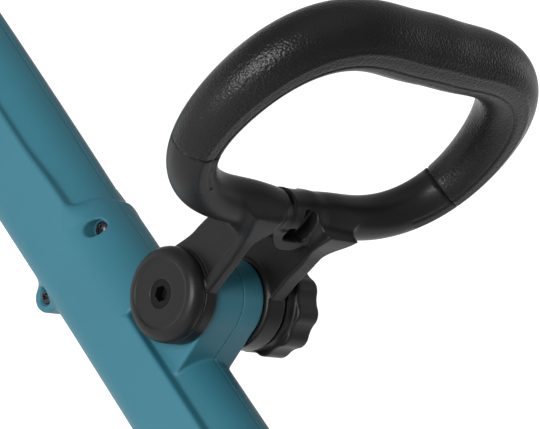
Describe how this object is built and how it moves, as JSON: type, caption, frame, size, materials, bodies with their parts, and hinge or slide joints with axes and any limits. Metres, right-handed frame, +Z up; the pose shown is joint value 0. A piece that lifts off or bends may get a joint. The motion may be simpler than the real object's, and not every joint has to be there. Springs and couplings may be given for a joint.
{
  "type": "cordless string trimmer",
  "caption": "Battery string trimmer: rear grip housing with trigger, tilting loop handle clamped by a lobed knob, telescopic pole, and tilting motor head with line spool and guards.",
  "frame": {"origin": "centre of the bounding box's bottom face, on the ground the trimmer lies on", "axes": "+X along the pole towards the cutting head, +Y to the clamp knob's side, +Z up"},
  "size_m": [1.455, 0.2954, 0.2947],
  "materials": {
    "teal_plastic": "fine moulded grain",
    "black_plastic": "fine moulded grain",
    "grip_rubber": "coarse leather grain",
    "knob_plastic": "satin",
    "screw_steel": "black oxide",
    "bright_steel": "turned",
    "tube_aluminium": "satin anodised",
    "spring_steel": "drawn wire",
    "brass": "turned",
    "circuit_board": "lacquered",
    "capacitor": "sleeve",
    "cable": "jacket",
    "red_wire": "jacket",
    "cell_wrap": "shrink sleeve",
    "grey_plastic": "moulded",
    "lever_red": "moulded",
    "copper": "wound",
    "magnet": "sintered",
    "line_orange": "extruded",
    "reel_yellow": "moulded"
  },
  "bodies": {
    "housing": {"housing_left": "teal_plastic", "housing_right": "teal_plastic", "housing_screws": "screw_steel", "rear_grip_rubber": "grip_rubber", "trigger_pin": "bright_steel", "trigger_spring": "spring_steel", "lock_spring": "spring_steel", "switch_body": "black_plastic", "battery_terminals": "brass", "controller_board": "circuit_board", "board_capacitors": "capacitor", "rear_wires": "red_wire", "pole_cable_rear": "cable", "fixed_tube": "tube_aluminium", "clamp_collar": "black_plastic", "clamp_bolt": "bright_steel", "strap_eye": "black_plastic"},
    "trigger": {"trigger": "black_plastic"},
    "lock_off": {"lock_off_button": "black_plastic"},
    "battery": {"battery_case": "black_plastic", "battery_band": "teal_plastic", "battery_cells": "cell_wrap", "battery_frame": "grey_plastic"},
    "battery_latch": {"battery_latch": "black_plastic"},
    "clamp_lever": {"clamp_lever": "lever_red"},
    "loop_handle": {"loop_core": "black_plastic", "loop_grip": "grip_rubber", "loop_bolt": "bright_steel", "friction_washers": "bright_steel", "knob_washer": "bright_steel"},
    "clamp_knob": {"clamp_knob": "knob_plastic", "knob_insert": "brass"},
    "pole": {"inner_tube": "tube_aluminium", "pole_cable_front": "cable", "head_yoke": "black_plastic", "tilt_pin": "bright_steel"},
    "head": {"head_case_left": "teal_plastic", "head_case_right": "teal_plastic", "head_screws": "screw_steel", "motor_can": "bright_steel", "motor_magnets": "magnet", "bearings": "bright_steel", "guard": "black_plastic", "guard_screws": "bright_steel", "line_cutter": "bright_steel", "cutter_screws": "bright_steel", "wire_guard_clips": "black_plastic"},
    "tilt_button": {"tilt_button": "lever_red"},
    "spool": {"motor_rotor": "copper", "motor_shaft": "bright_steel", "spool_driver": "bright_steel", "spool_case": "black_plastic", "line_eyelets": "bright_steel", "spool_reel": "reel_yellow", "wound_line": "line_orange", "cutting_line": "line_orange", "spool_cover": "black_plastic", "bump_spring": "spring_steel"},
    "bump_button": {"bump_button": "black_plastic"},
    "wire_guard": {"wire_guard": "bright_steel"}
  },
  "joints": [
    {"name": "loop_pivot", "type": "hinge", "parent": "housing", "child": "loop_handle", "pos_m": [-0.2495, 0, 0.135], "axis": [0, 1, 0], "range_deg": [-55, 70]},
    {"name": "knob_spin", "type": "hinge", "parent": "loop_handle", "child": "clamp_knob", "pos_m": [-0.2495, 0.035, 0.135], "axis": [0, 1, 0], "continuous": true},
    {"name": "trigger_pull", "type": "hinge", "parent": "housing", "child": "trigger", "pos_m": [-0.5175, 0, 0.087], "axis": [0, 1, 0], "range_deg": [0, 10], "stiffness_Nm_per_rad": 0.6, "springref_deg": -17.19},
    {"name": "lock_off_press", "type": "slide", "parent": "housing", "child": "lock_off", "axis": [0, 0, -1], "range_m": [0, 0.003], "stiffness_N_per_m": 400, "springref_m": -0.004, "deforming": ["lock_spring"]},
    {"name": "battery_slide", "type": "slide", "parent": "housing", "child": "battery", "axis": [-1, 0, 0], "range_m": [0, 0.11]},
    {"name": "battery_latch_press", "type": "slide", "parent": "battery", "child": "battery_latch", "axis": [0, 0, -1], "range_m": [0, 0.004], "stiffness_N_per_m": 400, "springref_m": -0.004},
    {"name": "clamp_lever_open", "type": "hinge", "parent": "housing", "child": "clamp_lever", "pos_m": [0.0995, -0.0155, 0.076], "axis": [1, 0, 0], "range_deg": [0, 90]},
    {"name": "pole_slide", "type": "slide", "parent": "housing", "child": "pole", "axis": [1, 0, 0], "range_m": [0, 0.18]},
    {"name": "head_tilt", "type": "hinge", "parent": "pole", "child": "head", "pos_m": [0.5425, 0, 0.1006], "axis": [0, 1, 0], "range_deg": [-50, 0]},
    {"name": "tilt_button_press", "type": "slide", "parent": "head", "child": "tilt_button", "axis": [0, -1, 0], "range_m": [0, 0.0025], "stiffness_N_per_m": 400, "springref_m": -0.003},
    {"name": "spool_spin", "type": "hinge", "parent": "head", "child": "spool", "pos_m": [0.5855, 0, 0.035], "axis": [0, 0, 1], "continuous": true},
    {"name": "bump_press", "type": "slide", "parent": "spool", "child": "bump_button", "axis": [0, 0, 1], "range_m": [0, 0.003], "stiffness_N_per_m": 700, "springref_m": -0.004, "deforming": ["bump_spring"]},
    {"name": "wire_guard_fold", "type": "hinge", "parent": "head", "child": "wire_guard", "pos_m": [0.5855, 0, 0.065], "axis": [0, 1, 0], "range_deg": [-100, 0]}
  ]
}
